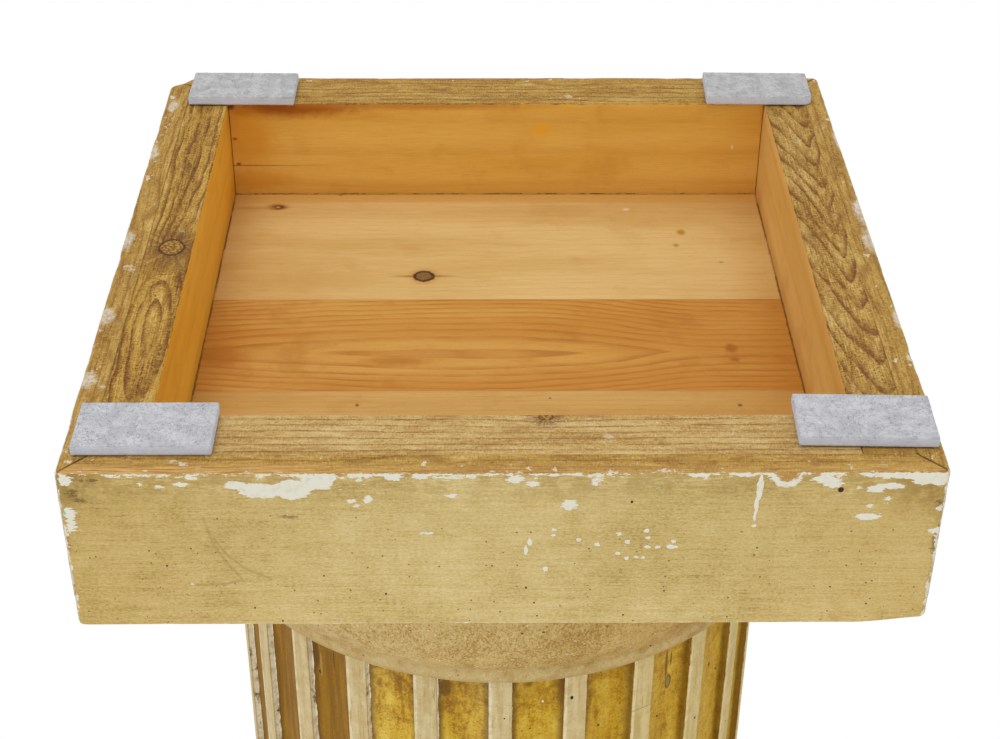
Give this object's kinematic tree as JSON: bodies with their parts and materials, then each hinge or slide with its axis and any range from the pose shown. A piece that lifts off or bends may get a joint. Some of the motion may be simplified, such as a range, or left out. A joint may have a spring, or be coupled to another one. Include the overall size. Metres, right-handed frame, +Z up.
{
  "type": "fluted column pedestal",
  "caption": "Painted wooden pedestal: a fluted round shaft with cream fillets and gold flutes on a hollow square plinth with felt feet, under a square top.",
  "frame": {"origin": "on the floor under the middle of the plinth", "axes": "+Z up along the shaft, -Y towards the chipped front facing of the plinth, +X along the front facing"},
  "size_m": [0.36, 0.36, 1.0405],
  "materials": {
    "plinth_paint": "ochre cream paint, chipped to a white ground at the lower edge",
    "bare_wood": "bare weathered softwood, rough sawn on the rim",
    "panel_wood": "bare pine, aged orange, satin",
    "felt": "pressed grey felt",
    "collar_paint": "ochre cream paint, aged and crackled",
    "fillet_paint": "cream painted fillets between dull gold flutes"
  },
  "bodies": {
    "root": {"plinth_facing_front": "plinth_paint", "plinth_facing_right": "plinth_paint", "plinth_facing_back": "plinth_paint", "plinth_facing_left": "plinth_paint", "plinth_inner_front": "bare_wood", "plinth_inner_right": "bare_wood", "plinth_inner_back": "bare_wood", "plinth_inner_left": "bare_wood", "panel_board_front": "panel_wood", "panel_board_middle": "panel_wood", "panel_board_back": "panel_wood", "felt_pad_front_right": "felt", "felt_pad_front_left": "felt", "felt_pad_back_right": "felt", "felt_pad_back_left": "felt", "base_collar": "collar_paint", "neck_collar": "collar_paint", "fluted_shaft": "fillet_paint", "top_board": "collar_paint"}
  },
  "joints": []
}
